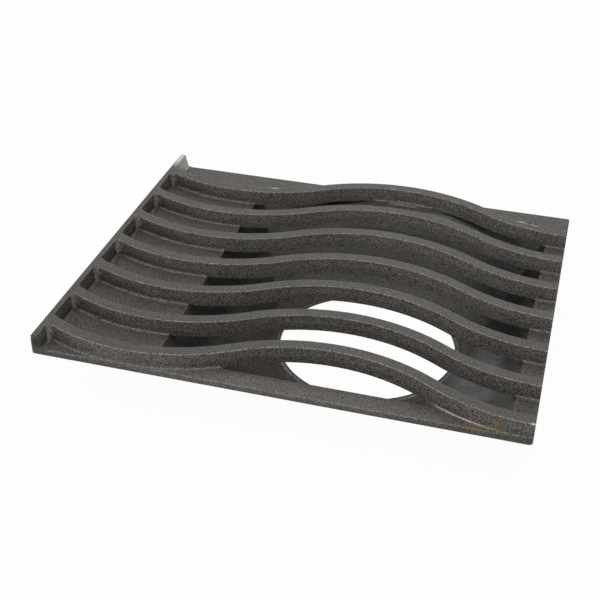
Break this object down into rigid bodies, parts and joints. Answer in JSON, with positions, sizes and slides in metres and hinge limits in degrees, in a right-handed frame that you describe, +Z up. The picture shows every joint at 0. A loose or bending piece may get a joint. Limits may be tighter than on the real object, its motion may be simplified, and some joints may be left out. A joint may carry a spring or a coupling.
{
  "type": "cast iron grate",
  "caption": "Cast iron range top grate: wavy parallel bars on a flat plate with an end wall, over a deep bowl with a collared burner hole.",
  "frame": {"origin": "middle of the plate's outline, on the level that the bowl's base rests on", "axes": "+X along the bars, away from the end wall; +Y to the rear, the side that the wave's crests point to; +Z up"},
  "size_m": [0.367, 0.305, 0.0771],
  "materials": {
    "cast_iron": "as cast"
  },
  "bodies": {
    "root": {"grate": "cast_iron"}
  },
  "joints": []
}
